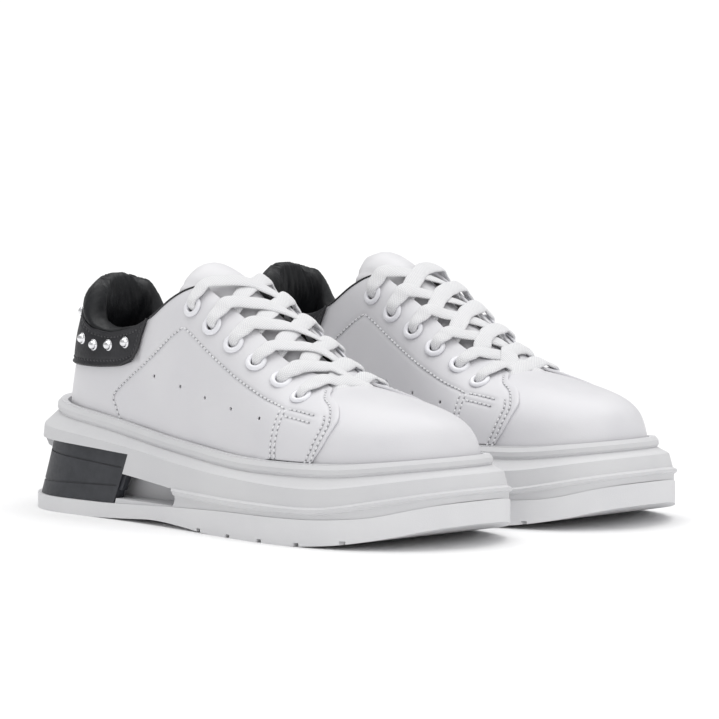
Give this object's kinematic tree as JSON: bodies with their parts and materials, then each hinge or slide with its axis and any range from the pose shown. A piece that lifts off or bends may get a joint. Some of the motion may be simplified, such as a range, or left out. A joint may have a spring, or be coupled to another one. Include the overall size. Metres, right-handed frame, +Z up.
{
  "type": "cheer shoes",
  "caption": "Pair of low lace-up cheer shoes with a thick platform sole, padded collar, studded heel band, padded tongue and flat laces.",
  "frame": {"origin": "centre of the pair's footprint on the ground, at the bottom of its bounding box", "axes": "+X from heels to toes, +Y towards the wearer's left, +Z up"},
  "size_m": [0.2853, 0.2294, 0.1218],
  "materials": {
    "outsole_rubber": "matte white rubber",
    "midsole_foam": "matte white moulded foam skin",
    "clip_plastic": "matte black",
    "board": "pressed fibre",
    "insole_cloth": "black textile over foam",
    "shank_steel": "bare steel",
    "white_leather": "smooth white",
    "backer": "woven reinforcement",
    "lining_cloth": "black textile",
    "stiffener": "thermoplastic sheet",
    "black_leather": "charcoal grained",
    "black_lining": "black, padded and wrinkled",
    "tongue_leather": "smooth white, padded",
    "eyelet_plastic": "glossy white",
    "stud_metal": "polished",
    "lace_weave": "flat woven white"
  },
  "bodies": {
    "right_shoe": {"right_outsole": "outsole_rubber", "right_midsole": "midsole_foam", "right_heel_clip": "clip_plastic", "right_insole_board": "board", "right_shank": "shank_steel", "right_quarter_lateral": "white_leather", "right_quarter_medial": "white_leather", "right_eyestay_backer_lateral": "backer", "right_eyestay_backer_medial": "backer", "right_quarter_lining_lateral": "lining_cloth", "right_quarter_lining_medial": "lining_cloth", "right_vamp": "white_leather", "right_vamp_lining": "lining_cloth", "right_toe_puff": "stiffener", "right_heel_tab": "black_leather", "right_heel_counter": "stiffener", "right_collar_lining": "black_lining", "right_eyelets": "eyelet_plastic", "right_studs": "stud_metal", "right_laces": "lace_weave"},
    "left_shoe": {"left_outsole": "outsole_rubber", "left_midsole": "midsole_foam", "left_heel_clip": "clip_plastic", "left_insole_board": "board", "left_shank": "shank_steel", "left_quarter_lateral": "white_leather", "left_quarter_medial": "white_leather", "left_eyestay_backer_lateral": "backer", "left_eyestay_backer_medial": "backer", "left_quarter_lining_lateral": "lining_cloth", "left_quarter_lining_medial": "lining_cloth", "left_vamp": "white_leather", "left_vamp_lining": "lining_cloth", "left_toe_puff": "stiffener", "left_heel_tab": "black_leather", "left_heel_counter": "stiffener", "left_collar_lining": "black_lining", "left_eyelets": "eyelet_plastic", "left_studs": "stud_metal", "left_laces": "lace_weave"},
    "right_tongue_flap": {"right_tongue": "tongue_leather"},
    "right_insole_liner": {"right_insole": "insole_cloth"},
    "left_tongue_flap": {"left_tongue": "tongue_leather"},
    "left_insole_liner": {"left_insole": "insole_cloth"}
  },
  "joints": [
    {"name": "left_shoe_lift", "type": "slide", "parent": "right_shoe", "child": "left_shoe", "axis": [0, 0, 1], "range_m": [0, 0.15]},
    {"name": "right_tongue_pivot", "type": "hinge", "parent": "right_shoe", "child": "right_tongue_flap", "pos_m": [0.06349, -0.05861, 0.064], "axis": [0.0175, 0.9998, 0], "range_deg": [-10, 0], "stiffness_Nm_per_rad": 0.4},
    {"name": "right_insole_lift", "type": "hinge", "parent": "right_shoe", "child": "right_insole_liner", "pos_m": [0.11548, -0.05952, 0.038], "axis": [0.0175, 0.9998, 0], "range_deg": [0, 3]},
    {"name": "left_tongue_pivot", "type": "hinge", "parent": "left_shoe", "child": "left_tongue_flap", "pos_m": [0.06349, 0.05861, 0.064], "axis": [-0.0175, 0.9998, 0], "range_deg": [-10, 0], "stiffness_Nm_per_rad": 0.4},
    {"name": "left_insole_lift", "type": "hinge", "parent": "left_shoe", "child": "left_insole_liner", "pos_m": [0.11548, 0.05952, 0.038], "axis": [-0.0175, 0.9998, 0], "range_deg": [0, 3]}
  ]
}
